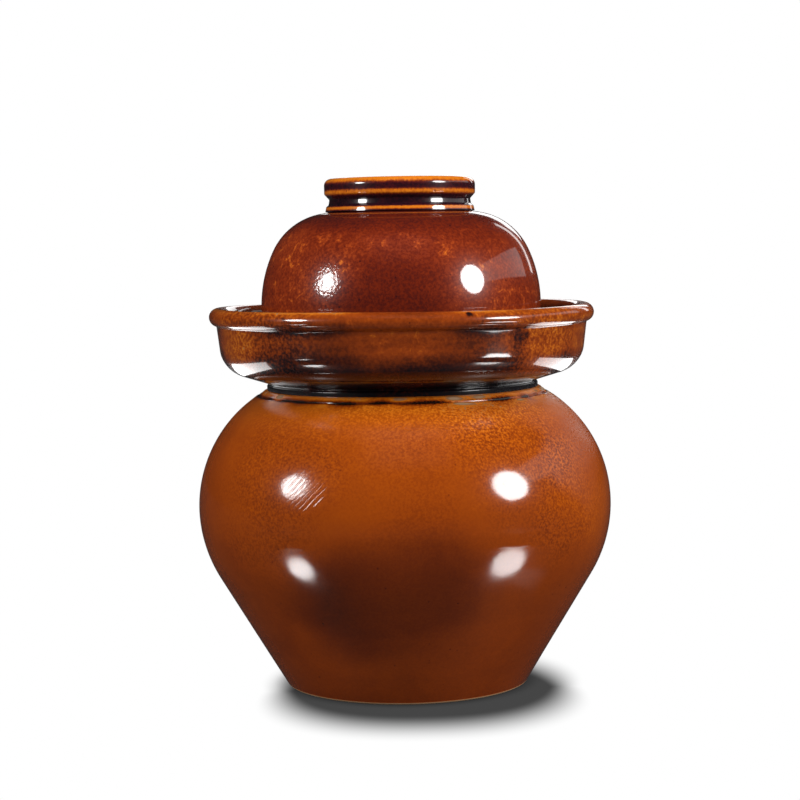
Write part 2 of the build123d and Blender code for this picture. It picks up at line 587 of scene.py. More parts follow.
def make_clouding() -> bpy.types.NodeTree:
    """Makes the group for how a glaze gathers in clouds and level streaks, and breaks in flecks and grain.

    Returns:
        A group that changes a thickness, and leaves bare clay bare and pools unbroken.
    """
    patterns = ("Cloud scale", "Cloud amount", "Fleck scale", "Fleck amount", "Grain scale", "Grain amount")
    effect = Effect("glaze_clouding", ("Vector", "Thickness", *patterns, "Streak amount"), "Thickness")
    graph, given = effect.graph, effect.given
    vector, laid = given["Vector"], given["Thickness"]
    cloud = graph.noise(vector, given["Cloud scale"], 4.0, Roughness=0.6, Distortion=0.8)
    fleck = graph.noise(vector, given["Fleck scale"], 6.0, Roughness=0.72, Distortion=1.1)
    grain = graph.noise(vector, given["Grain scale"], 3.0, Roughness=0.65)
    patch = graph.noise(vector, graph.times(given["Cloud scale"], PATCH_SCALE))
    level = graph.node("ShaderNodeMapping", {"Vector": vector, "Scale": STREAK_STRETCH})
    streak = graph.noise(level.outputs[0], given["Cloud scale"], 3.0)
    breaks = graph.times(graph.fade(patch, *PATCHED, *PATCH_SHARES), graph.fade(laid, *BREAKING))
    lift = graph.times(graph.times(graph.fade(fleck, *FLECKED), breaks), given["Fleck amount"])
    change = graph.minus(graph.times(graph.minus(cloud, NOISE_MIDDLE), given["Cloud amount"]), lift)
    change = graph.times_plus(graph.fade(grain, *GRAINED, *GRAIN_SHARES), given["Grain amount"], change)
    change = graph.times_plus(graph.minus(streak, NOISE_MIDDLE), given["Streak amount"], change)
    total = graph.times_plus(change, graph.fade(laid, *COVERED), laid)
    return effect.finish(graph.math("MINIMUM", graph.math("MAXIMUM", total, 0.0), 1.0))


SPECK_LEAST_SIZE = 0.4
SPECK_EDGE = (0.0, 0.5)


def make_specks() -> bpy.types.NodeTree:
    """Makes the group for dark iron specks.

    Returns:
        A group that puts out a mask of round specks.
    """
    effect = Effect("iron_specks", ("Vector", "Scale", "Share", "Size"), "Mask")
    graph, given = effect.graph, effect.given
    values = {"Vector": given["Vector"], "Scale": given["Scale"], "Randomness": 1.0}
    cells = graph.node("ShaderNodeTexVoronoi", values)
    pick = graph.node("ShaderNodeSeparateColor", {"Color": cells.outputs["Color"]})
    chosen = graph.math("LESS_THAN", pick.outputs["Red"], given["Share"])
    size = graph.times(given["Size"], graph.plus(pick.outputs["Green"], SPECK_LEAST_SIZE))
    closeness = graph.minus(1.0, graph.over(cells.outputs["Distance"], size))
    return effect.finish(graph.times(graph.fade(closeness, *SPECK_EDGE), chosen))


def make_orange_peel() -> bpy.types.NodeTree:
    """Makes the group for the slightly wavy, finely pitted skin of a fired glaze.

    Returns:
        A group that puts out a height in metres.
    """
    inputs = ("Vector", "Wave scale", "Wave height", "Pit scale", "Pit height", "Pit mask")
    effect = Effect("orange_peel", inputs, "Height")
    graph, given = effect.graph, effect.given
    wave = graph.noise(given["Vector"], given["Wave scale"], 1.0)
    pit = graph.noise(given["Vector"], given["Pit scale"], 1.0)
    pits = graph.times(graph.times(pit, given["Pit height"]), given["Pit mask"])
    return effect.finish(graph.times_plus(wave, given["Wave height"], pits))


BLOT_EDGE = (1.0, 0.35)
BLOT_EDGE_SCALE = 1.6


def make_blot() -> bpy.types.NodeTree:
    """Makes the group for one soft-edged blot at a place on a piece.

    Returns:
        A group that puts out the blot's mask.
    """
    effect = Effect("blot", ("Vector", "Place", "Radius", "Ragged"), "Mask")
    graph, given = effect.graph, effect.given
    away = graph.vector("DISTANCE", given["Vector"], given["Place"]).outputs["Value"]
    edge = graph.noise(given["Vector"], graph.over(BLOT_EDGE_SCALE, given["Radius"]), 3.0)
    ragged = graph.times(graph.minus(edge, NOISE_MIDDLE), given["Ragged"])
    return effect.finish(graph.fade(graph.plus(graph.over(away, given["Radius"]), ragged), *BLOT_EDGE))


@dataclass(frozen=True)
class Spot:
    """A round, soft-edged spot on a piece, with its place and its radius in millimetres."""

    place: Place
    radius: float
    ragged: float = field(default=0.0, kw_only=True)


@dataclass(frozen=True)
class Blot(Spot):
    """One mark in a glaze, where it lies thinner or thicker than around it; some blots are painted light and
    shade, lighter where a lamp falls and darker where shade falls.
    """

    glaze: float


@dataclass(frozen=True)
class GrainPatch(Spot):
    """A stretch of surface that came out of the kiln with more grain, finely pitted or duller."""

    grain: float = 0.0
    pits: float = 0.0
    roughness: float = 0.04
    ragged: float = field(default=1.0, kw_only=True)


@dataclass(frozen=True)
class Scuff(Spot):
    """A place where the glaze is scratched by many fine parallel lines."""

    lean: float
    spacing: float = 1.9 * MM
    depth: float = 0.11 * MM
    ragged: float = field(default=0.5, kw_only=True)


CLAY: Colour = (0.40, 0.24, 0.13)
CLAY_STAINED: Colour = (0.30, 0.13, 0.05)
CLAY_STOPS = ((0.00, CLAY), (0.07, CLAY_STAINED))
GLAZE_STEPS = (0.13, 0.28, 0.42, 0.56, 0.70, 0.84, 1.00)


@dataclass(frozen=True)
class Glaze:
    """A fired glaze: its colours by thickness, and how clouded, specked and smooth it is."""

    name: str
    colours: tuple[Colour, ...]  # one for each of GLAZE_STEPS
    cloud_size: float = 38.0 * MM
    cloud_amount: float = 0.25
    fleck_size: float = 7.0 * MM
    fleck_amount: float = 0.08
    grain_size: float = 1.1 * MM
    grain_amount: float = 0.12
    streak_amount: float = 0.08
    speck_spacing: float = 3.2 * MM
    speck_share: float = 0.3
    speck_size: float = 0.16
    speck_depth: float = 0.22
    roughness: float = 0.06
    dry_roughness: float = 0.0
    pool_roughness: float = 0.0
    pool_pits: float = 0.0
    haze: float = 0.25
    haze_roughness: float = 0.3
    wave_height: float = 0.04 * MM
    pit_height: float = 0.03 * MM
    blots: tuple[Blot, ...] = ()
    grain_patches: tuple[GrainPatch, ...] = ()
    scuffs: tuple[Scuff, ...] = ()

    @property
    def stops(self) -> tuple[tuple[float, Colour], ...]:
        """Colours by thickness, from bare clay up."""
        return (*CLAY_STOPS, *zip(GLAZE_STEPS, self.colours))


class Kiln:
    """Fires the finishes: it holds the shared effects and makes each glaze's material from them."""

    wave_size = 9.0 * MM
    pit_size = 1.3 * MM
    clay_roughness = 0.75
    glass_ior = 1.52
    glazed_span = (0.04, 0.12)
    dry_span = (0.49, 0.39)
    pool_span = (0.92, 0.98)
    scratch_span = (0.55, 0.95)
    band_period = 0.314  # spacing of a Wave Texture's bands at a scale of 1

    def __init__(self) -> None:
        """Makes the shared effects."""
        self.clouding = make_clouding()
        self.specks = make_specks()
        self.orange_peel = make_orange_peel()
        self.blot = make_blot()

    def _mask(self, graph: Graph, place: Socket, spot: Spot) -> Socket:
        """Adds the mask of a spot."""
        centre = tuple(length * MM for length in spot.place)
        return graph.group(self.blot, vector=place, place=centre, radius=spot.radius * MM, ragged=spot.ragged)

    def _lay(self, graph: Graph, place: Socket, glaze: Glaze) -> Socket:
        """Lays the glaze as thick as the section says, with its blots, some of which are painted light and
        shade.

        Args:
            graph: The material's node tree.
            place: Object coordinates.
            glaze: The glaze.

        Returns:
            The thickness.
        """
        laid = graph.node("ShaderNodeAttribute", attribute_name=GLAZE_LAYER).outputs["Fac"]
        for blot in glaze.blots:
            mask = self._mask(graph, place, blot)
            laid = graph.times_plus(graph.minus(blot.glaze, laid), mask, laid)
        return laid

    def _colour(self, graph: Graph, place: Socket, laid: Socket, grain: object, glaze: Glaze) -> Socket:
        """Colours the glaze by its thickness once it has clouded and specked.

        Args:
            graph: The material's node tree.
            place: Object coordinates.
            laid: Thickness of the glaze as laid.
            grain: How strongly it is grained.
            glaze: The glaze.

        Returns:
            The colour.
        """
        clouded = graph.group(
            self.clouding,
            vector=place,
            thickness=laid,
            cloud_scale=1 / glaze.cloud_size,
            cloud_amount=glaze.cloud_amount,
            fleck_scale=1 / glaze.fleck_size,
            fleck_amount=glaze.fleck_amount,
            grain_scale=1 / glaze.grain_size,
            grain_amount=grain,
            streak_amount=glaze.streak_amount,
        )
        specks = graph.group(
            self.specks,
            vector=place,
            scale=1 / glaze.speck_spacing,
            share=glaze.speck_share,
            size=glaze.speck_size,
        )
        glazed = graph.fade(laid, *self.glazed_span)
        speck_depth = graph.times(graph.times(specks, glazed), glaze.speck_depth)
        return graph.ramp(graph.math("ADD", clouded, speck_depth, clamp=True), glaze.stops)

    def _relief(self, graph: Graph, place: Socket, pitted: Socket, glaze: Glaze) -> Socket:
        """Gives the glaze its wavy, pitted skin and its scratches.

        Args:
            graph: The material's node tree.
            place: Object coordinates.
            pitted: How strongly it is pitted.
            glaze: The glaze.

        Returns:
            The height in metres.
        """
        height = graph.group(
            self.orange_peel,
            vector=place,
            wave_scale=1 / self.wave_size,
            wave_height=glaze.wave_height,
            pit_scale=1 / self.pit_size,
            pit_height=glaze.pit_height,
            pit_mask=pitted,
        )
        for scuff in glaze.scuffs:
            mask = self._mask(graph, place, scuff)
            lean = (0.0, math.radians(scuff.lean), 0.0)
            turned = graph.node("ShaderNodeMapping", {"Vector": place, "Rotation": lean}).outputs[0]
            scale = self.band_period / scuff.spacing
            values = {"Vector": turned, "Scale": scale, "Distortion": 1.5, "Detail": 1.0}
            lines = graph.node("ShaderNodeTexWave", values, bands_direction="X").outputs["Fac"]
            cuts = graph.fade(lines, *self.scratch_span, 0.0, -scuff.depth)
            height = graph.times_plus(cuts, mask, height)
        return height

    def fire(self, piece: bpy.types.Object, glaze: Glaze) -> None:
        """Gives a piece its glaze.

        Args:
            piece: The piece.
            glaze: The glaze.
        """
        material = add_material(glaze.name)
        graph = Graph(material.node_tree)
        place = graph.node("ShaderNodeTexCoord").outputs["Object"]
        laid = self._lay(graph, place, glaze)
        grain = glaze.grain_amount
        pitted = graph.fade(laid, *self.pool_span, 0.0, glaze.pool_pits)
        rough = graph.fade(laid, *self.dry_span, glaze.roughness, glaze.roughness + glaze.dry_roughness)
        rough = graph.plus(rough, graph.fade(laid, *self.pool_span, 0.0, glaze.pool_roughness))
        for patch in glaze.grain_patches:
            share = self._mask(graph, place, patch)
            grain = graph.times_plus(share, patch.grain, grain)
            pitted = graph.times_plus(share, patch.pits, pitted)
            rough = graph.times_plus(share, patch.roughness, rough)
        height = self._relief(graph, place, pitted, glaze)
        bump = graph.node("ShaderNodeBump", {"Height": height, "Strength": 1.0, "Distance": 1.0})
        values = {
            "Base Color": self._colour(graph, place, laid, grain, glaze),
            "Roughness": graph.fade(laid, *self.glazed_span, self.clay_roughness, rough),
            "IOR": self.glass_ior,
            "Normal": bump.outputs["Normal"],
            "Coat Weight": graph.times(graph.fade(laid, *self.glazed_span), glaze.haze),
            "Coat Roughness": glaze.haze_roughness,
        }
        shader = graph.node("ShaderNodeBsdfPrincipled", values)
        graph.node("ShaderNodeOutputMaterial", {"Surface": shader.outputs["BSDF"]})
        piece.data.materials.append(material)


AMBER_GLAZE = Glaze(
    name="amber_glaze",
    colours=(
        (0.70, 0.190, 0.010),
        (0.50, 0.104, 0.004),
        (0.36, 0.064, 0.003),
        (0.26, 0.042, 0.003),
        (0.14, 0.021, 0.003),
        (0.045, 0.008, 0.003),
        (0.010, 0.004, 0.003),
    ),
    cloud_amount=0.17,
    fleck_amount=0.05,
    grain_size=1.15 * MM,
    grain_amount=0.035,
    speck_share=0.12,
    speck_depth=0.12,
    dry_roughness=0.16,
    haze=0.06,
    blots=(
        # Painted shade: the lower front is darkened where shade falls.
        Blot((-20, -78, 54), 41, 0.77, ragged=0.2),
        Blot((6, -87, 61), 45, 0.69, ragged=0.2),
        # Painted light: the flank that faces the right softbox is lightened.
        Blot((86, -44, 98), 40, 0.46, ragged=0.3),
    ),
    grain_patches=(
        GrainPatch((6, -60, 146), 62, 0.18),
        GrainPatch((48, -66, 126), 50, 0.24),
        GrainPatch((76, -60, 96), 40, 0.18),
        GrainPatch((-62, -76, 108), 46, 0.18),
        GrainPatch((0, -96, 108), 40, 0.05),
        GrainPatch((50, 60, 122), 60, 0.22),
        GrainPatch((-60, 50, 112), 56, 0.20),
        GrainPatch((80, -42, 122), 46, roughness=0.3),
        GrainPatch((-46.6, -85.1, 105.4), 15, pits=1.1, roughness=0.03),
    ),
    scuffs=(Scuff((-44.0, -86.4, 105.0), 12, lean=-45.0),),
)

TROUGH_GLAZE = Glaze(
    name="trough_glaze",
    colours=(
        (0.64, 0.180, 0.012),
        (0.45, 0.098, 0.006),
        (0.30, 0.049, 0.004),
        (0.21, 0.032, 0.003),
        (0.10, 0.016, 0.003),
        (0.035, 0.006, 0.004),
        (0.006, 0.004, 0.006),
    ),
    cloud_size=17 * MM,
    cloud_amount=0.3,
    fleck_size=5 * MM,
    fleck_amount=0.22,
    grain_size=1.5 * MM,
    grain_amount=0.10,
    streak_amount=0.45,
    speck_share=0.15,
    pool_roughness=0.08,
    pool_pits=3.0,
    wave_height=0.06 * MM,
    blots=(
        # Painted shade: the front of the wall, the lip and the underside are darkened.
        Blot((0, -92, 180), 36, 0.50, ragged=0.6),
        Blot((0, -95, 196), 24, 0.63, ragged=0.6),
        Blot((0, -76, 150), 22, 0.85, ragged=0.3),
        # Painted light: the flanks that face the two softboxes are lightened.
        Blot((-80, -45, 176), 36, 0.40, ragged=0.6),
        Blot((86, -26, 170), 26, 0.44, ragged=0.6),
        Blot((66, -64, 172), 30, 0.40, ragged=0.6),
        Blot((53.6, -70.6, 171.0), 7.0, 0.80, ragged=1.8),
        Blot((51.6, -70.8, 165.4), 4.2, 0.76, ragged=1.8),
        Blot((29.9, -86.8, 181.8), 2.2, 0.92, ragged=0.9),
    ),
    grain_patches=(
        GrainPatch((-66, -62, 170), 44, 0.24, roughness=0.02),
        GrainPatch((62, -66, 172), 44, 0.20, roughness=0.02),
        GrainPatch((0, -66, 148), 30, 0.20, roughness=0.02),
        GrainPatch((0, 84, 172), 60, 0.20, roughness=0.02),
    ),
)

RED_BROWN_GLAZE = Glaze(
    name="red_brown_glaze",
    colours=(
        (0.66, 0.160, 0.014),
        (0.40, 0.062, 0.009),
        (0.24, 0.029, 0.006),
        (0.15, 0.015, 0.004),
        (0.085, 0.009, 0.005),
        (0.035, 0.005, 0.006),
        (0.010, 0.004, 0.006),
    ),
    cloud_size=26 * MM,
    cloud_amount=0.28,
    fleck_size=8.5 * MM,
    fleck_amount=0.30,
    grain_size=1.3 * MM,
    grain_amount=0.16,
    streak_amount=0.2,
    blots=(
        # Painted shade: the front is darkened.
        Blot((-4, -66, 184), 36, 0.63, ragged=0.5),
        # Painted light: the flank that faces the left softbox is lightened.
        Blot((-56, -34, 196), 38, 0.45, ragged=0.5),
        Blot((-27.5, -57.6, 204.9), 1.5, 0.15, ragged=0.4),
    ),
    grain_patches=(GrainPatch((-34.1, -56.4, 197.7), 19, 0.1, pits=3.4),),
)

MAROON_GLAZE = Glaze(
    name="maroon_glaze",
    colours=(
        (0.74, 0.205, 0.008),
        (0.50, 0.105, 0.006),
        (0.25, 0.044, 0.006),
        (0.11, 0.013, 0.008),
        (0.055, 0.006, 0.010),
        (0.024, 0.004, 0.008),
        (0.008, 0.003, 0.006),
    ),
    cloud_size=18 * MM,
    cloud_amount=0.16,
    fleck_size=4 * MM,
    fleck_amount=0.1,
    grain_size=1.3 * MM,
    grain_amount=0.17,
)

BROWN_GLAZE = Glaze(name="brown_glaze", colours=AMBER_GLAZE.colours, cloud_amount=0.3)


@dataclass
class Crock:
    """The pot, with its foot, belly and neck, and the water trough that is luted on its shoulder."""

    belly_radius: float
    mouth_z: float
    lip_radius: float
    lip_z: float
    belly_height: float = 86.6 * MM
    belly_centre_offset: float = 36.0 * MM
    foot_radius: float = 58.5 * MM
    foot_edge_round: float = 1.5 * MM
    foot_ring_width: float = 14.0 * MM
    foot_recess_depth: float = 1.5 * MM
    foot_recess_slope: float = 1.5 * MM
    wall: float = 6.5 * MM
    floor: float = 8.0 * MM
    floor_round: float = 10.0 * MM
    mouth_radius: float = 45.0 * MM
    neck_wall: float = 5.5 * MM
    neck_rim_round: float = 2.0 * MM
    glaze_line: float = 0.9 * MM
    glaze_edge: float = 0.3 * MM
    thin_shoulder: float = 9.0 * MM
    seat_width: float = 15.0 * MM
    collar_height: float = 2.2 * MM
    collar_edge: float = 0.15 * MM
    collar_round: float = 0.8 * MM
    groove_depth: float = 1.2 * MM
    groove_rise: float = 1.0 * MM
    groove_round: float = 0.5 * MM
    trough_floor_thickness: float = 7.5 * MM
    trough_wall: float = 5.6 * MM
    trough_floor_round: float = 6.0 * MM
    slip_cove: float = 2.6 * MM
    heel_drop: float = 2.8 * MM
    heel_round: float = 13.5 * MM
    wall_lean: float = 7.0
    lip_bead_radius: float = 4.3 * MM
    lip_notch_round: float = 1.2 * MM
    slip_bead_out: float = 1.2 * MM
    slip_bead_height: float = 0.35 * MM
    slip_bead_half: float = 1.08 * MM
    slip_bead_thin: float = 1.8 * MM
    score_out: float = 4.2 * MM
    score_depth: float = 0.5 * MM
    score_half: float = 0.5 * MM
    score_pool: float = 1.1 * MM
    score_knead: float = 1.5 * MM
    waist_uneven: float = 0.13 * MM
    waist_run: float = 0.2
    score_uneven: float = 0.3 * MM
    score_run: float = 0.9
    foot_glaze: float = 0.62
    side_glaze: float = 0.58
    belly_glaze: tuple[AngleGlaze, ...] = ((-12.0, 0.56), (6.0, 0.53), (36.0, 0.48))
    # Painted shade: the heel and the trough's underside are glazed dark to stand for the shade under the
    # overhang.
    shoulder_glaze: float = 0.29
    heel_glaze: float = 0.70
    trough_glaze: float = 0.44
    lip_glaze: float = 0.53
    rim_wipe: float = 4.0 * MM
    lip_break_angle: float = 72.0
    lip_break_reach: float = 1.4 * MM
    notch_pool: float = 2.4 * MM
    # Where the painted shade inside the heel sits and how far it reaches.
    heel_pool_inwards: float = 10.8 * MM
    heel_pool: float = 12.825 * MM

    @classmethod
    def from_frame(cls) -> "Crock":
        """Reads the driving sizes off the frame.

        Returns:
            The crock to be thrown.
        """
        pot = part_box("crock_body")[1]
        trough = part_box("water_trough")[1]
        return cls(belly_radius=pot.x, mouth_z=pot.z, lip_radius=trough.x, lip_z=trough.z)

    @property
    def belly_centre(self) -> Point:
        """Centre of the belly's arc."""
        return (self.belly_centre_offset, self.belly_height)

    @property
    def belly_curve(self) -> float:
        """Radius of the belly's arc."""
        return self.belly_radius - self.belly_centre_offset

    @property
    def neck_radius(self) -> float:
        """Outer radius of the neck."""
        return self.mouth_radius + self.neck_wall

    @property
    def side_angle(self) -> float:
        """Angle of the belly's arc at which the straight side leaves it."""
        across = self.foot_radius - self.belly_centre_offset
        reach = math.hypot(across, self.belly_height)
        return math.degrees(math.atan2(-self.belly_height, across) + math.acos(self.belly_curve / reach))

    def belly_angle(self, radius: float) -> float:
        """Finds the angle of the belly's upper arc at a radius from the axis."""
        return math.degrees(math.acos((radius - self.belly_centre_offset) / self.belly_curve))

    def belly_point(self, radius: float) -> Point:
        """Finds the point of the belly's upper arc at a radius from the axis."""
        return point_at(self.belly_centre, self.belly_curve, self.belly_angle(radius))

    @property
    def neck_root(self) -> Point:
        """Where the neck meets the shoulder."""
        return self.belly_point(self.neck_radius)

    @property
    def trough_floor_z(self) -> float:
        """Height of the trough's floor."""
        return self.neck_root[1] + self.trough_floor_thickness

    @property
    def collar_radius(self) -> float:
        """Radius of the collar that the trough stands on."""
        return self.neck_radius + self.seat_width

    @property
    def collar_foot(self) -> Point:
        """Where the collar stands on the shoulder."""
        return self.belly_point(self.collar_radius)

    @property
    def score(self) -> Point:
        """Where the scored line runs round the shoulder."""
        return self.belly_point(self.collar_radius + self.score_out)

    @property
    def waist(self) -> tuple[Knead, ...]:
        """Uneven bands where the trough was luted on, the same for both pieces that meet there."""
        collar_top_z = self.collar_foot[1] + self.collar_height
        return (
            Knead(collar_top_z, self.collar_height, self.waist_uneven, self.waist_run),
            Knead(self.score[1], self.score_knead, self.score_uneven, self.score_run),
        )

    def throw_pot(self) -> bpy.types.Object:
        """Throws the pot.

        Returns:
            The pot, with a slip bead and a scored line on its shoulder below the trough.
        """
        recess_radius = self.foot_radius - self.foot_ring_width
        side_touch = point_at(self.belly_centre, self.belly_curve, self.side_angle)
        slope = math.tan(math.radians(self.side_angle))
        inner_curve = self.belly_curve - self.wall
        inner_touch = point_at(self.belly_centre, inner_curve, self.side_angle)
        throat_angle = math.degrees(math.acos((self.mouth_radius - self.belly_centre_offset) / inner_curve))
        floor_radius = inner_touch[0] + (inner_touch[1] - self.floor) * slope

        section = Section((0.0, self.foot_recess_depth), Thickness.BARE)
        section.line((recess_radius - self.foot_recess_slope, self.foot_recess_depth), Thickness.BARE)
        section.line((recess_radius, 0.0), Thickness.BARE)
        foot_edge = section.line((self.foot_radius, 0.0), Thickness.BARE)
        glazed_from = self.glaze_line + self.glaze_edge
        for height, glaze in ((self.glaze_line, Thickness.BARE), (glazed_from, self.foot_glaze)):
            section.line((self.foot_radius - height * slope, height), glaze)
        section.line(side_touch, self.side_glaze)
        shoulder_glaze = (
            (self.belly_angle(self.collar_radius + self.thin_shoulder), self.shoulder_glaze),
            (self.belly_angle(self.collar_radius), Thickness.THIN),
            (self.belly_angle(self.neck_radius), Thickness.DARK),
        )
        section.arcs(self.belly_centre, self.side_angle, self.belly_glaze + shoulder_glaze)
        outer_rim = section.line((self.neck_radius, self.mouth_z), Thickness.HEAVY)
        inner_rim = section.line((self.mouth_radius, self.mouth_z), Thickness.HEAVY)
        section.line(point_at(self.belly_centre, inner_curve, throat_angle), Thickness.FULL)
        section.arc(self.belly_centre, self.side_angle - throat_angle, Thickness.HEAVY)
        floor_corner = section.line((floor_radius, self.floor), Thickness.DARK)
        section.line((0.0, self.floor), Thickness.DARK)

        section.round_off(self.foot_edge_round, foot_edge)
        section.round_off(self.neck_rim_round, outer_rim, inner_rim)
        section.round_off(self.floor_round, floor_corner)
        section.refine()
        bead = self.belly_point(self.collar_radius + self.slip_bead_out)
        section.press(bead, self.belly_centre, -self.slip_bead_height, self.slip_bead_half)
        section.press(self.score, self.belly_centre, self.score_depth, self.score_half)
        section.dab(bead, Thickness.BREAK, self.slip_bead_thin)
        section.dab(self.score, Thickness.DARK, self.score_pool)
        for rim in (self.mouth_radius, self.neck_radius):
            section.dab((rim, self.mouth_z), Thickness.BARE, self.rim_wipe)
        rim_middle = (self.mouth_radius + self.neck_radius) / 2
        section.dab((rim_middle, self.mouth_z), Thickness.BARE, self.neck_wall)
        return section.turned("thrown_crock", "crock", "crock_glaze", "crock_body", kneads=self.waist)

    def throw_trough(self) -> bpy.types.Object:
        """Throws the water trough.

        Returns:
            The trough, with a cove of slip where its floor meets the neck.
        """
        lip = (self.lip_radius - self.lip_bead_radius, self.lip_z - self.lip_bead_radius)
        lean = math.radians(self.wall_lean)
        up_wall = Vector((math.sin(lean), math.cos(lean)))
        off_wall = Vector((math.cos(lean), -math.sin(lean)))
        notch_off = self.trough_wall - self.lip_bead_radius + self.lip_notch_round
        notch_drop = math.sqrt((self.lip_bead_radius + self.lip_notch_round) ** 2 - notch_off**2)
        notch = Vector(lip) + off_wall * notch_off - up_wall * notch_drop
        wall_top = notch - off_wall * self.lip_notch_round
        heel_z = self.trough_floor_z - self.heel_drop
        heel_place = wall_top - up_wall * ((wall_top.y - heel_z) / up_wall.y)
        inner_wall_top = Vector(lip) - off_wall * self.lip_bead_radius
        corner_place = inner_wall_top - up_wall * ((inner_wall_top.y - self.trough_floor_z) / up_wall.y)
        collar_foot_z = self.collar_foot[1]
        collar_top_z = collar_foot_z + self.collar_height
        upright = 180.0 - self.wall_lean
        cove_radius = self.neck_radius + self.slip_cove

        section = Section(self.collar_foot, Thickness.POOL)
        section.line((self.collar_radius, collar_foot_z + self.collar_edge), Thickness.POOL)
        collar_top = section.line((self.collar_radius, collar_top_z), Thickness.POOL)
        groove_place = (self.collar_radius - self.groove_depth, collar_top_z + self.groove_rise)
        groove = section.line(groove_place, Thickness.POOL)
        # Painted shade: the underside stays dark from the groove out to the heel.
        heel = section.line(heel_place, self.heel_glaze)
        section.line(wall_top, self.trough_glaze)
        section.arc(notch, angle_of(notch, lip) - upright, Thickness.HEAVY)
        section.arc(lip, -angle_of(lip, notch), self.lip_glaze)
        section.arc(lip, 90.0, self.trough_glaze)
        section.arc(lip, upright - 90.0, Thickness.HEAVY)
        corner = section.line(corner_place, Thickness.POOL)
        section.line((cove_radius, self.trough_floor_z), Thickness.POOL)
        section.arc((cove_radius, self.trough_floor_z + self.slip_cove), -90.0, Thickness.POOL)
        section.line(self.neck_root, Thickness.POOL)
        sweep = self.belly_angle(self.collar_radius) - self.belly_angle(self.neck_radius)
        last = section.arc(self.belly_centre, sweep, Thickness.POOL)
        bmesh.ops.pointmerge(section.mesh, verts=[last, section.first], merge_co=last.co)

        section.round_off(self.collar_round, collar_top)
        section.round_off(self.groove_round, groove)
        section.round_off(self.heel_round, heel)
        section.round_off(self.trough_floor_round, corner)
        section.refine()
        section.dab(wall_top, Thickness.DARK, self.notch_pool)
        lip_break = point_at(lip, self.lip_bead_radius, self.lip_break_angle)
        section.dab(lip_break, Thickness.BREAK, self.lip_break_reach)
        # Painted shade: the underside inside the heel is darkened to a pool.
        section.dab((heel_place.x - self.heel_pool_inwards, heel_z), Thickness.POOL, self.heel_pool)
        return section.turned("luted_trough", "crock", "trough_glaze", "water_trough", kneads=self.waist)

    def build(self, kiln: Kiln) -> None:
        """Throws and glazes the pot and its trough."""
        kiln.fire(self.throw_pot(), AMBER_GLAZE)
        kiln.fire(self.throw_trough(), TROUGH_GLAZE)


@dataclass(frozen=True)
class GlazeBreak:
    """A level edge that the glaze ran off: how far above a mark it lies, its reach and what stayed on it."""

    rise: float
    reach: float
    glaze: float


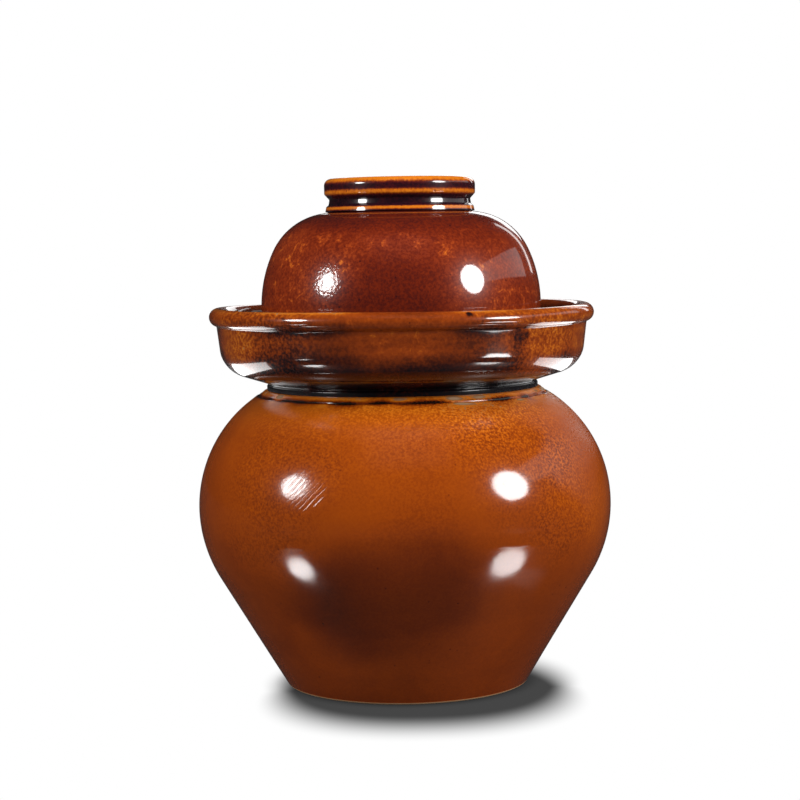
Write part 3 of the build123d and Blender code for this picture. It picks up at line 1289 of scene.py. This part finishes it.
@dataclass
class OuterLid:
    """The inverted bowl that stands in the trough, with the ring that it is lifted by."""

    radius: float
    rim_z: float
    crown_z: float
    ring_radius: float
    ring_root_z: float
    ring_top_z: float
    wall: float = 5.0 * MM
    skirt_height: float = 26.6 * MM
    rim_round: float = 1.8 * MM
    rim_wipe: float = 3.6 * MM
    side_curve: float = 62.0 * MM
    side_turn: float = 25.0
    crown_slope: float = 10.0
    crown_shelf: float = 4.4 * MM
    ring_root_radius: float = 34.0 * MM
    ring_wall: float = 5.5 * MM
    bead_swell: float = 2.1 * MM
    bead_lean: float = 0.5 * MM
    bead_height: float = 1.6 * MM
    bead_half: float = 0.8 * MM
    bead_round: float = 0.9 * MM
    bead_rise: float = 1.7 * MM
    root_round: float = 0.2 * MM
    neck_in_length: float = 2.6 * MM
    neck_in_lean: float = 0.45 * MM
    neck_in_round: float = 0.9 * MM
    roll_flare: float = 2.6 * MM
    roll_edge_round: float = 1.0 * MM
    roll_top_round: float = 3.4 * MM
    bore_round: float = 1.6 * MM
    band_chord: float = 0.7 * MM
    side_glaze: float = 0.48
    shoulder_glaze: tuple[AngleGlaze, ...] = ((32.0, 0.48), (46.0, 0.58), (60.0, 0.68))
    crown_glaze: float = 0.66
    roll_glaze: float = 0.8
    top_break: GlazeBreak = GlazeBreak(0.0, 2.6 * MM, 0.15)
    roll_break: GlazeBreak = GlazeBreak(0.5 * MM, 1.4 * MM, 0.2)
    bead_break: GlazeBreak = GlazeBreak(-0.1 * MM, 0.85 * MM, 0.11)

    @classmethod
    def from_frame(cls) -> "OuterLid":
        """Reads the driving sizes off the frame.

        Returns:
            The lid to be thrown.
        """
        low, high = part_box("outer_lid")
        ring_low, ring_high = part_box("lid_grip_ring")
        return cls(
            radius=high.x,
            rim_z=low.z,
            crown_z=high.z,
            ring_radius=ring_high.x,
            ring_root_z=ring_low.z,
            ring_top_z=ring_high.z,
        )

    @property
    def bore_radius(self) -> float:
        """Radius of the ring's bore."""
        return self.ring_root_radius - self.ring_wall

    def throw_bowl(self) -> bpy.types.Object:
        """Throws the bowl, crown up.

        Returns:
            The bowl, with a bare rim.
        """
        skirt_top = self.rim_z + self.skirt_height
        side_centre = (self.radius - self.side_curve, skirt_top)
        side_end = point_at(side_centre, self.side_curve, self.side_turn)
        crown_radius = self.ring_root_radius + self.crown_shelf
        crown_angle = 90.0 - self.crown_slope
        turn_share = math.cos(math.radians(self.side_turn)) - math.cos(math.radians(crown_angle))
        shoulder = (side_end[0] - crown_radius) / turn_share
        shoulder_centre = point_at(side_end, -shoulder, self.side_turn)
        ceiling_edge = point_at(shoulder_centre, shoulder - self.wall, crown_angle)
        ceiling_z = self.crown_z - self.wall
        slope = math.tan(math.radians(self.crown_slope))
        ceiling_radius = ceiling_edge[0] - (ceiling_z - ceiling_edge[1]) / slope

        section = Section((self.radius, self.rim_z), Thickness.BARE)
        outer_rim = section.first
        section.line((self.radius, skirt_top), self.side_glaze)
        section.arc(side_centre, self.side_turn, self.side_glaze)
        shoulder_glaze = (*self.shoulder_glaze, (crown_angle, self.crown_glaze))
        section.arcs(shoulder_centre, self.side_turn, shoulder_glaze)
        section.line((self.bore_radius, self.crown_z), Thickness.DARK)
        section.line((0.0, self.crown_z), Thickness.HEAVY)
        section.skip((0.0, ceiling_z), Thickness.HEAVY)
        section.line((ceiling_radius, ceiling_z), Thickness.HEAVY)
        section.line(ceiling_edge, Thickness.HEAVY)
        section.arc(shoulder_centre, self.side_turn - crown_angle, Thickness.FULL)
        section.arc(side_centre, -self.side_turn, Thickness.FULL)
        inner_rim = section.line((self.radius - self.wall, self.rim_z), Thickness.BARE)
        section.close()
        section.round_off(self.rim_round, outer_rim, inner_rim)
        section.refine()
        self._wipe_rim(section)
        return section.turned("bowl_lid", "outer_lid", "lid_glaze", "outer_lid")

    def _wipe_rim(self, section: Section) -> None:
        """Wipes the glaze off the rim, which has kept the lid from sticking in the kiln.

        Args:
            section: The bowl's section. It is bare up to the wiped height and glazed from twice as high.
        """
        for vert in section.mesh.verts:
            rise = (vert.co.z - self.rim_z) / self.rim_wipe
            if rise < 2:
                vert[section.layer] = self.side_glaze * min(1.0, max(0.0, rise - 1))

    def throw_ring(self) -> bpy.types.Object:
        """Throws the grip ring.

        Returns:
            The ring, with a bead of slip at its root.
        """
        bead_radius = self.ring_root_radius + self.bead_swell
        bead_z = self.ring_root_z + self.bead_height
        neck_in_z = bead_z + self.bead_rise
        roll_edge_z = neck_in_z + self.neck_in_length + self.roll_flare
        section = Section((self.bore_radius, self.crown_z), Thickness.DARK)
        root = section.line((bead_radius, self.ring_root_z), Thickness.POOL)
        bead = section.line((bead_radius - self.bead_lean, bead_z + self.bead_half), Thickness.BREAK)
        neck_in_low = section.line((self.ring_root_radius + self.neck_in_lean, neck_in_z), Thickness.DARK)
        neck_in_high = section.line((self.ring_root_radius, neck_in_z + self.neck_in_length), Thickness.DARK)
        roll_edge = section.line((self.ring_radius, roll_edge_z), Thickness.THIN)
        roll_top = section.line((self.ring_radius, self.ring_top_z), Thickness.THIN)
        bore_top = section.line((self.bore_radius, self.ring_top_z), Thickness.LIGHT)
        section.close()
        section.round_off(self.root_round, root)
        section.round_off(self.bead_round, bead)
        section.round_off(self.neck_in_round, neck_in_low, neck_in_high)
        section.round_off(self.roll_edge_round, roll_edge)
        section.round_off(self.roll_top_round, roll_top)
        section.round_off(self.bore_round, bore_top)
        section.refine(self.band_chord)
        for vert in section.mesh.verts:
            vert[section.layer] = self._ring_glaze(vert.co.z, bead_z, roll_edge_z)
        return section.turned("grip_ring", "outer_lid", "ring_glaze", "lid_grip_ring")

    def _ring_glaze(self, height: float, bead_z: float, roll_edge_z: float) -> float:
        """Finds how thick the glaze lies on the ring: it runs off the edges and gathers between them.

        Args:
            height: Height of a point of the ring's section.
            bead_z: Height of the bead at the ring's root.
            roll_edge_z: Height of the roll's lower edge.

        Returns:
            The thickness.
        """
        glaze = Thickness.DARK if height < roll_edge_z else self.roll_glaze
        marks = (self.ring_top_z, roll_edge_z, bead_z)
        for mark, edge in zip(marks, (self.top_break, self.roll_break, self.bead_break)):
            gap = (height - (mark + edge.rise)) / edge.reach
            glaze += (edge.glaze - glaze) * math.exp(-(gap**4))
        return glaze

    def build(self, kiln: Kiln) -> None:
        """Throws and glazes the bowl and its ring."""
        kiln.fire(self.throw_bowl(), RED_BROWN_GLAZE)
        kiln.fire(self.throw_ring(), MAROON_GLAZE)


@dataclass
class InnerLid:
    """The disc that closes the mouth under the outer lid, with its knob."""

    radius: float
    spigot_tip_z: float
    knob_seat_z: float
    knob_radius: float
    knob_top_z: float
    edge: float = 4.0 * MM
    edge_round: float = 1.5 * MM
    rise: float = 2.6 * MM
    spigot_radius: float = 43.8 * MM
    spigot_wall: float = 5.0 * MM
    spigot_round: float = 1.4 * MM
    knob_root_radius: float = 7.5 * MM
    waist_height: float = 4.0 * MM
    flare: float = 4.0 * MM
    waist_round: float = 2.2 * MM
    knob_edge_round: float = 2.6 * MM
    under_round: float = 1.3 * MM
    knob_steps: int = 96

    @classmethod
    def from_frame(cls) -> "InnerLid":
        """Reads the driving sizes off the frame.

        Returns:
            The lid to be thrown.
        """
        low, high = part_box("inner_lid")
        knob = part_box("inner_lid_knob")[1]
        return cls(
            radius=high.x, spigot_tip_z=low.z, knob_seat_z=high.z, knob_radius=knob.x, knob_top_z=knob.z
        )

    def throw_disc(self) -> bpy.types.Object:
        """Throws the disc.

        Returns:
            The disc, bare where it lies on the mouth.
        """
        edge_top_z = self.knob_seat_z - self.rise
        under_z = edge_top_z - self.edge
        bore = self.spigot_radius - self.spigot_wall
        section = Section((0.0, under_z), Thickness.FULL)
        inner_root = section.line((bore, under_z), Thickness.FULL)
        inner_tip = section.line((bore, self.spigot_tip_z), Thickness.LIGHT)
        outer_tip = section.line((self.spigot_radius, self.spigot_tip_z), Thickness.BARE)
        section.line((self.spigot_radius, under_z), Thickness.BARE)
        under_edge = section.line((self.radius, under_z), Thickness.BARE)
        top_edge = section.line((self.radius, edge_top_z), Thickness.THIN)
        section.line((self.knob_root_radius, self.knob_seat_z), Thickness.HEAVY)
        section.line((0.0, self.knob_seat_z), Thickness.HEAVY)
        section.round_off(self.spigot_round, inner_root, inner_tip, outer_tip)
        section.round_off(self.edge_round, under_edge, top_edge)
        section.refine()
        return section.turned("mouth_lid", "inner_lid", "inner_lid_glaze", "inner_lid")

    def throw_knob(self) -> bpy.types.Object:
        """Throws the knob.

        Returns:
            The knob.
        """
        waist_z = self.knob_seat_z + self.waist_height
        section = Section((0.0, self.knob_seat_z), Thickness.HEAVY)
        section.line((self.knob_root_radius, self.knob_seat_z), Thickness.HEAVY)
        waist = section.line((self.knob_root_radius, waist_z), Thickness.FULL)
        under = section.line((self.knob_radius, waist_z + self.flare), Thickness.LIGHT)
        top = section.line((self.knob_radius, self.knob_top_z), Thickness.THIN)
        section.line((0.0, self.knob_top_z), Thickness.PLAIN)
        section.round_off(self.waist_round, waist)
        section.round_off(self.under_round, under)
        section.round_off(self.knob_edge_round, top)
        section.refine()
        return section.turned(
            "mouth_lid_knob", "inner_lid", "inner_lid_glaze", "inner_lid_knob", steps=self.knob_steps
        )

    def build(self, kiln: Kiln) -> None:
        """Throws and glazes the disc and its knob."""
        kiln.fire(self.throw_disc(), BROWN_GLAZE)
        kiln.fire(self.throw_knob(), BROWN_GLAZE)


class Lights(Enum):
    """What a lamp is for: its reflection in the glaze, the soft light on it, or both."""

    SHEEN = "sheen"
    SOFT = "soft"
    BOTH = "both"


class Face(Enum):
    """The outline of a lamp's face, by Blender's name for it."""

    OBLONG = "RECTANGLE"
    ROUND = "ELLIPSE"


@dataclass(frozen=True)
class Lamp:
    """A soft lamp or card, given by its place, its aim, its size and how bright its face is."""

    name: str
    place: Place
    aim: Place
    width: float
    height: float
    radiance: float
    lights: Lights
    face: Face = Face.OBLONG
    roll: float = 0.0

    def hang(self) -> None:
        """Hangs the lamp in the studio."""
        light = bpy.data.lights.new(self.name, "AREA")
        light.shape = self.face.value
        light.size = self.width
        light.size_y = self.height
        round_share = math.pi / 4 if self.face is Face.ROUND else 1.0
        light.energy = self.radiance * math.pi * self.width * self.height * round_share
        lamp = add_object(self.name, light)
        lamp.location = self.place
        away = Vector(self.place) - Vector(self.aim)
        turn = Quaternion((0.0, 0.0, 1.0), math.radians(self.roll))
        lamp.rotation_euler = (away.to_track_quat("Z", "Y") @ turn).to_euler()
        lamp.visible_camera = False
        lamp.visible_diffuse = self.lights is not Lights.SHEEN
        lamp.visible_glossy = self.lights is not Lights.SOFT
        log.info("lamp %s hangs at %s", self.name, self.place)


JAR_MIDDLE = (0.0, 0.0, 0.12)
RIGHT_LIMB = (0.08, -0.156, 0.205)
LAMPS = (
    Lamp("right_softbox", (2.32, -1.20, 1.07), JAR_MIDDLE, 1.02, 1.02, 23.0, Lights.BOTH, Face.ROUND),
    Lamp("left_softbox", (-1.58, -0.75, 0.766), JAR_MIDDLE, 0.48, 0.50, 28.0, Lights.BOTH, Face.ROUND),
    Lamp("top_light", (0.05, -0.70, 1.44), JAR_MIDDLE, 1.1, 1.0, 4.2, Lights.SOFT),
    Lamp("right_panel", (0.976, 0.127, 0.547), RIGHT_LIMB, 1.15, 0.245, 0.8, Lights.SHEEN, roll=-8.7),
    Lamp("edge_panel", (0.70, 1.12, 0.62), (0.05, -0.025, 0.21), 0.12, 0.62, 2.4, Lights.SHEEN, roll=-20.0),
    Lamp("back_panel", (0.20, 1.40, 0.58), (0.05, 0.0, 0.2), 0.7, 0.25, 2.6, Lights.SHEEN),
    Lamp("right_card", (0.108, 0.002, 0.130), (0.108, 0.002, 1.0), 0.036, 0.100, 5.0, Lights.SHEEN),
    Lamp("left_card", (-0.108, 0.002, 0.130), (-0.108, 0.002, 1.0), 0.036, 0.100, 5.0, Lights.SHEEN),
)


@dataclass
class Studio:
    """The camera, the lamps, the pale table and the white room around the jar."""

    camera_place: Place = (-1.5 * MM, -998.0 * MM, 216.6 * MM)
    camera_pitch: float = 4.56
    camera_roll: float = 1.0
    lens: float = 92.7
    floor_size: float = 8.0
    # The painted shadow on the table: an ellipse with this middle, these half sizes and soft edges.
    shadow_place: Place = (6.8 * MM, -25.0 * MM, 0.0)
    shadow_half: Place = (69.0 * MM, 80.5 * MM, 1.0)
    shadow_soft_beside: float = 0.12
    shadow_soft_before: float = 0.32
    shadow_squareness: float = 2.25
    shadow_floor: float = 0.06
    contact_reach: float = 14.0 * MM
    contact_samples: int = 16
    contact_open: float = 0.6
    contact_floor: float = 0.3
    room_sheen: float = 0.015
    room_fill: float = 0.12
    table_sheen: float = 0.03
    table_albedo: float = 0.3
    near_mirror: float = 0.60
    near_roughness: float = 0.15
    far_mirror: float = 0.95
    far_roughness: float = 0.07
    mirror_front: Span = (-40.0 * MM, -90.0 * MM)
    near_end: Span = (262.0 * MM, 276.0 * MM)
    far_start: Span = (456.0 * MM, 472.0 * MM)
    far_end: Span = (560.0 * MM, 640.0 * MM)
    mirror_tilt: float = 0.097
    lamps: tuple[Lamp, ...] = LAMPS

    def stand_camera(self) -> None:
        """Stands the camera where the photograph was taken from."""
        data = bpy.data.cameras.new("camera")
        data.lens = self.lens
        camera = add_object("camera", data)
        camera.location = self.camera_place
        level = Euler((math.radians(90.0 - self.camera_pitch), 0.0, 0.0)).to_matrix()
        roll = Euler((0.0, 0.0, math.radians(-self.camera_roll))).to_matrix()
        camera.rotation_euler = (level @ roll).to_euler()
        bpy.context.scene.camera = camera

    def _shadowed_white(self, graph: Graph, place: Socket) -> Socket:
        """Makes what the camera sees of the table: white, with a painted soft shadow under the jar, an
        ellipse that is darkened further where ambient occlusion finds the jar close.

        Args:
            graph: The table's node tree.
            place: Place on the table.

        Returns:
            The shader.
        """
        values = {"Vector": place, "Location": self.shadow_place, "Scale": self.shadow_half}
        fitted = graph.node("ShaderNodeMapping", values, vector_type="TEXTURE").outputs[0]
        sides = graph.node("ShaderNodeSeparateXYZ", {0: fitted}).outputs
        beside, before = (graph.math("ABSOLUTE", sides[axis]) for axis in ("X", "Y"))
        powers = [graph.math("POWER", side, self.shadow_squareness) for side in (beside, before)]
        away = graph.math("POWER", graph.plus(*powers), 1 / self.shadow_squareness)
        softer = self.shadow_soft_before - self.shadow_soft_beside
        soft = graph.times_plus(graph.over(before, away), softer, self.shadow_soft_beside)
        outside = graph.over(graph.minus(away, 1.0), soft)
        # Painted shadow: darker inside the ellipse.
        shadow = graph.fade(outside, -1.0, 1.0, self.shadow_floor, 1.0)
        values = {"Distance": self.contact_reach}
        closed = graph.node("ShaderNodeAmbientOcclusion", values, samples=self.contact_samples)
        contact = graph.fade(closed.outputs["AO"], 0.0, self.contact_open, self.contact_floor, 1.0)
        strength = graph.times(shadow, contact)
        return graph.node("ShaderNodeEmission", {"Color": WHITE, "Strength": strength}).outputs[0]

    def _mirror(self, graph: Graph, place: Socket) -> Socket:
        """Makes what the glaze sees of the table: dark, and glossy in two rings in front of the jar.

        Args:
            graph: The table's node tree.
            place: Place on the table.

        Returns:
            The shader.
        """
        dim = graph.node("ShaderNodeEmission", {"Color": WHITE, "Strength": self.table_sheen})
        radius = graph.vector("LENGTH", place).outputs["Value"]
        front = graph.fade(graph.node("ShaderNodeSeparateXYZ", {0: place}).outputs["Y"], *self.mirror_front)
        near = graph.fade(radius, *self.near_end, 1.0, 0.0)
        far = graph.times(graph.fade(radius, *self.far_start), graph.fade(radius, *self.far_end, 1.0, 0.0))
        polished = graph.times_plus(far, self.far_mirror, graph.times(near, self.near_mirror))
        gloss = graph.times(front, polished)
        blur = graph.times_plus(near, self.near_roughness - self.far_roughness, self.far_roughness)
        tilt = graph.times(near, self.mirror_tilt)
        outwards = graph.vector("NORMALIZE", place).outputs[0]
        values = {0: outwards, "Scale": tilt}
        lean = graph.node("ShaderNodeVectorMath", values, operation="SCALE").outputs[0]
        upwards = graph.vector("ADD", lean, (0.0, 0.0, 1.0)).outputs[0]
        facing = graph.vector("NORMALIZE", upwards).outputs[0]
        values = {"Color": gloss, "Roughness": blur, "Normal": facing}
        mirror = graph.node("ShaderNodeBsdfAnisotropic", values)
        return graph.node("ShaderNodeAddShader", {0: dim.outputs[0], 1: mirror.outputs[0]}).outputs[0]

    def _paint_table(self) -> bpy.types.Material:
        """Makes the table's material.

        Returns:
            The material, which shows the camera, the glaze and the soft light each another side.
        """
        material = add_material("table")
        material.cycles.emission_sampling = "NONE"
        graph = Graph(material.node_tree)
        place = graph.node("ShaderNodeTexCoord").outputs["Object"]
        albedo = (self.table_albedo,) * 3 + (1.0,)
        matt = graph.node("ShaderNodeBsdfDiffuse", {"Color": albedo}).outputs[0]
        path = graph.node("ShaderNodeLightPath").outputs
        lit = graph.mix(path["Is Glossy Ray"], matt, self._mirror(graph, place))
        seen = graph.mix(path["Is Camera Ray"], lit, self._shadowed_white(graph, place))
        graph.node("ShaderNodeOutputMaterial", {"Surface": seen})
        return material

    def lay_table(self) -> None:
        """Lays the table: white to the camera, with a painted shadow under the jar, and dark and glossy to
        the glaze.
        """
        mesh = bmesh.new()
        bmesh.ops.create_grid(mesh, x_segments=1, y_segments=1, size=self.floor_size / 2)
        data = bpy.data.meshes.new("table")
        mesh.to_mesh(data)
        mesh.free()
        table = add_object("table", data)
        data.materials.append(self._paint_table())

    def paint_room(self) -> None:
        """Paints the room white to the camera, dark to reflections and even for the fill light."""
        world = bpy.data.worlds.new("room")
        bpy.context.scene.world = world
        world.use_nodes = True
        world.cycles.sampling_method = "NONE"
        graph = Graph(world.node_tree)
        path = graph.node("ShaderNodeLightPath").outputs
        dim = graph.plus(graph.times(path["Is Glossy Ray"], self.room_sheen - self.room_fill), self.room_fill)
        strength = graph.plus(dim, graph.times(path["Is Camera Ray"], 1.0 - self.room_fill))
        air = graph.node("ShaderNodeBackground", {"Color": WHITE, "Strength": strength})
        graph.node("ShaderNodeOutputWorld", {"Surface": air.outputs[0]})

    def build(self) -> None:
        """Sets the studio up."""
        self.stand_camera()
        self.lay_table()
        self.paint_room()
        for lamp in self.lamps:
            lamp.hang()
        bpy.context.scene.view_settings.view_transform = "Standard"


def main() -> None:
    """Builds the jar and its studio."""
    logging.basicConfig(level=logging.INFO, format="%(message)s")
    noise.seed_set(HANDWORK_SEED)
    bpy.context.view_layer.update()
    kiln = Kiln()
    for assembly in (Crock, OuterLid, InnerLid):
        assembly.from_frame().build(kiln)
    Studio().build()


if __name__ == "__main__":
    main()
